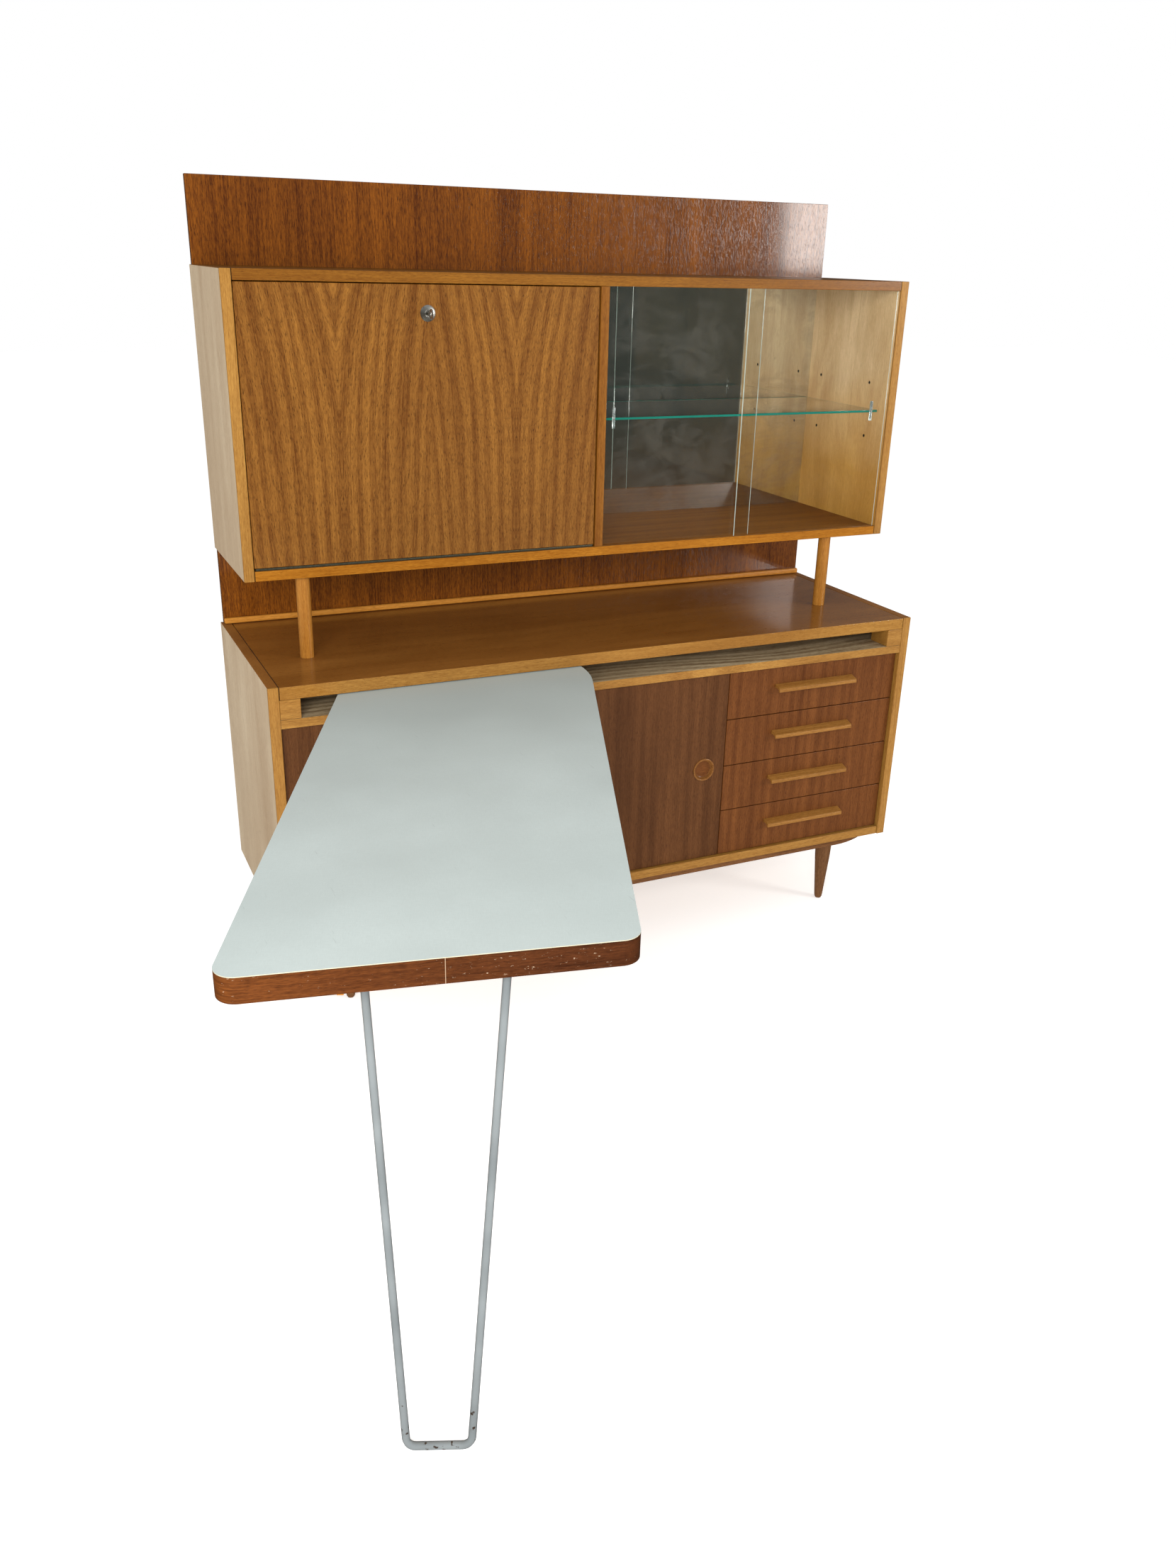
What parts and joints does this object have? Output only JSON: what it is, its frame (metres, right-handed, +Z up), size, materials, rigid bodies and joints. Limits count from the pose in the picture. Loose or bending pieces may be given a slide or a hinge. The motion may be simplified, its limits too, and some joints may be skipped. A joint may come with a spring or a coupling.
{
  "type": "secretary desk",
  "caption": "Low cabinet on round legs with a swing-out table, doors and drawers, under a raised hutch with a drop-front flap, sliding glass and a tall back panel.",
  "frame": {"origin": "on the floor, under the middle of the whole object's box with the table swung out as stored", "axes": "+X to the right along the cabinet's front, +Y from the front to the back, +Z up"},
  "size_m": [1.8753, 1.7149, 1.738],
  "materials": {
    "light_wood": "satin varnish",
    "mahogany": "satin varnish",
    "sapele": "satin varnish",
    "brown_veneer": "gloss varnish",
    "pale_grey_veneer": "matt, bleached",
    "birch": "satin varnish",
    "plywood": "unfinished",
    "laminate": "worn satin laminate",
    "nickel": "worn nickel plate",
    "steel": "dull steel",
    "grey_paint": "chipped grey paint",
    "glass": "clear, polished edges",
    "mirror": "silvered, spotted with age",
    "nylon": "moulded"
  },
  "bodies": {
    "cabinet": {"lower_side_left": "pale_grey_veneer", "lower_side_right": "pale_grey_veneer", "slot_floor": "pale_grey_veneer", "hutch_side_left": "pale_grey_veneer", "hutch_side_right": "pale_grey_veneer", "bottom_board": "light_wood", "slot_end_left": "light_wood", "slot_end_right": "light_wood", "hutch_divider": "light_wood", "hutch_top": "light_wood", "panel_strip": "light_wood", "post_left": "light_wood", "post_right": "light_wood", "divider_left": "birch", "divider_right": "birch", "lower_back": "plywood", "top_board": "brown_veneer", "hutch_bottom": "brown_veneer", "base_batten_front": "mahogany", "base_batten_back": "mahogany", "leg_front_left": "mahogany", "leg_front_right": "mahogany", "leg_back_left": "mahogany", "leg_back_right": "mahogany", "back_panel": "mahogany", "table_guide_rail": "steel", "flap_hinge": "steel", "glass_shelf": "glass", "mirror": "mirror"},
    "table_carriage": {"table_guide_block": "nylon"},
    "table": {"table_laminate": "laminate", "table_band": "mahogany", "table_core": "birch", "leg_bracket": "grey_paint", "leg_rest_block": "light_wood"},
    "table_leg": {"hairpin_leg": "grey_paint"},
    "left_door": {"left_door": "mahogany", "left_door_pull": "light_wood"},
    "middle_door": {"middle_door": "mahogany", "middle_door_pull": "light_wood"},
    "drawer_1": {"drawer_1_front": "mahogany", "drawer_1_box": "birch", "drawer_1_handle": "light_wood"},
    "drawer_2": {"drawer_2_front": "mahogany", "drawer_2_box": "birch", "drawer_2_handle": "light_wood"},
    "drawer_3": {"drawer_3_front": "mahogany", "drawer_3_box": "birch", "drawer_3_handle": "light_wood"},
    "drawer_4": {"drawer_4_front": "mahogany", "drawer_4_box": "birch", "drawer_4_handle": "light_wood"},
    "flap": {"flap": "sapele", "lock_cylinder": "nickel"},
    "flap_stay_left": {"flap_stay_left": "steel"},
    "flap_stay_right": {"flap_stay_right": "steel"},
    "key": {"key": "nickel", "lock_cam": "nickel"},
    "left_pane": {"glass_pane_left": "glass"},
    "right_pane": {"glass_pane_right": "glass"}
  },
  "joints": [
    {"name": "table_slide", "type": "slide", "parent": "cabinet", "child": "table_carriage", "axis": [1, 0, 0], "range_m": [-0.03, 0.7]},
    {"name": "table_swivel", "type": "hinge", "parent": "table_carriage", "child": "table", "pos_m": [-0.2177, 0.3705, 0.76], "axis": [0, 0, 1], "range_deg": [-10, 57]},
    {"name": "leg_fold", "type": "hinge", "parent": "table", "child": "table_leg", "pos_m": [-0.65407, -0.69349, 0.729], "axis": [0.9252, -0.3795, 0], "range_deg": [0, 102]},
    {"name": "left_door_hinge", "type": "hinge", "parent": "cabinet", "child": "left_door", "pos_m": [-0.6343, 0.3465, 0.456], "axis": [0, 0, -1], "range_deg": [0, 90]},
    {"name": "middle_door_hinge", "type": "hinge", "parent": "cabinet", "child": "middle_door", "pos_m": [-0.1013, 0.3465, 0.456], "axis": [0, 0, -1], "range_deg": [0, 90]},
    {"name": "drawer_1_slide", "type": "slide", "parent": "cabinet", "child": "drawer_1", "axis": [0, -1, 0], "range_m": [0, 0.38]},
    {"name": "drawer_2_slide", "type": "slide", "parent": "cabinet", "child": "drawer_2", "axis": [0, -1, 0], "range_m": [0, 0.38]},
    {"name": "drawer_3_slide", "type": "slide", "parent": "cabinet", "child": "drawer_3", "axis": [0, -1, 0], "range_m": [0, 0.38]},
    {"name": "drawer_4_slide", "type": "slide", "parent": "cabinet", "child": "drawer_4", "axis": [0, -1, 0], "range_m": [0, 0.38]},
    {"name": "flap_drop", "type": "hinge", "parent": "cabinet", "child": "flap", "pos_m": [-0.25555, 0.495, 0.9916], "axis": [1, 0, 0], "range_deg": [0, 90]},
    {"name": "flap_stay_left_turn", "type": "hinge", "parent": "flap", "child": "flap_stay_left", "pos_m": [-0.6328, 0.5185, 1.15997], "axis": [1, 0, 0], "range_deg": [-45, 0]},
    {"name": "flap_stay_right_turn", "type": "hinge", "parent": "flap", "child": "flap_stay_right", "pos_m": [0.1217, 0.5185, 1.15997], "axis": [1, 0, 0], "range_deg": [-45, 0]},
    {"name": "key_turn", "type": "hinge", "parent": "flap", "child": "key", "pos_m": [-0.25555, 0.4935, 1.4878], "axis": [0, -1, 0], "range_deg": [0, 90]},
    {"name": "left_pane_slide", "type": "slide", "parent": "cabinet", "child": "left_pane", "axis": [1, 0, 0], "range_m": [0, 0.363]},
    {"name": "right_pane_slide", "type": "slide", "parent": "cabinet", "child": "right_pane", "axis": [-1, 0, 0], "range_m": [0, 0.353]}
  ],
  "couplings": [
    {"joint": "flap_stay_left_turn", "follows": "flap_drop", "ratio": -0.5},
    {"joint": "flap_stay_right_turn", "follows": "flap_drop", "ratio": -0.5}
  ]
}
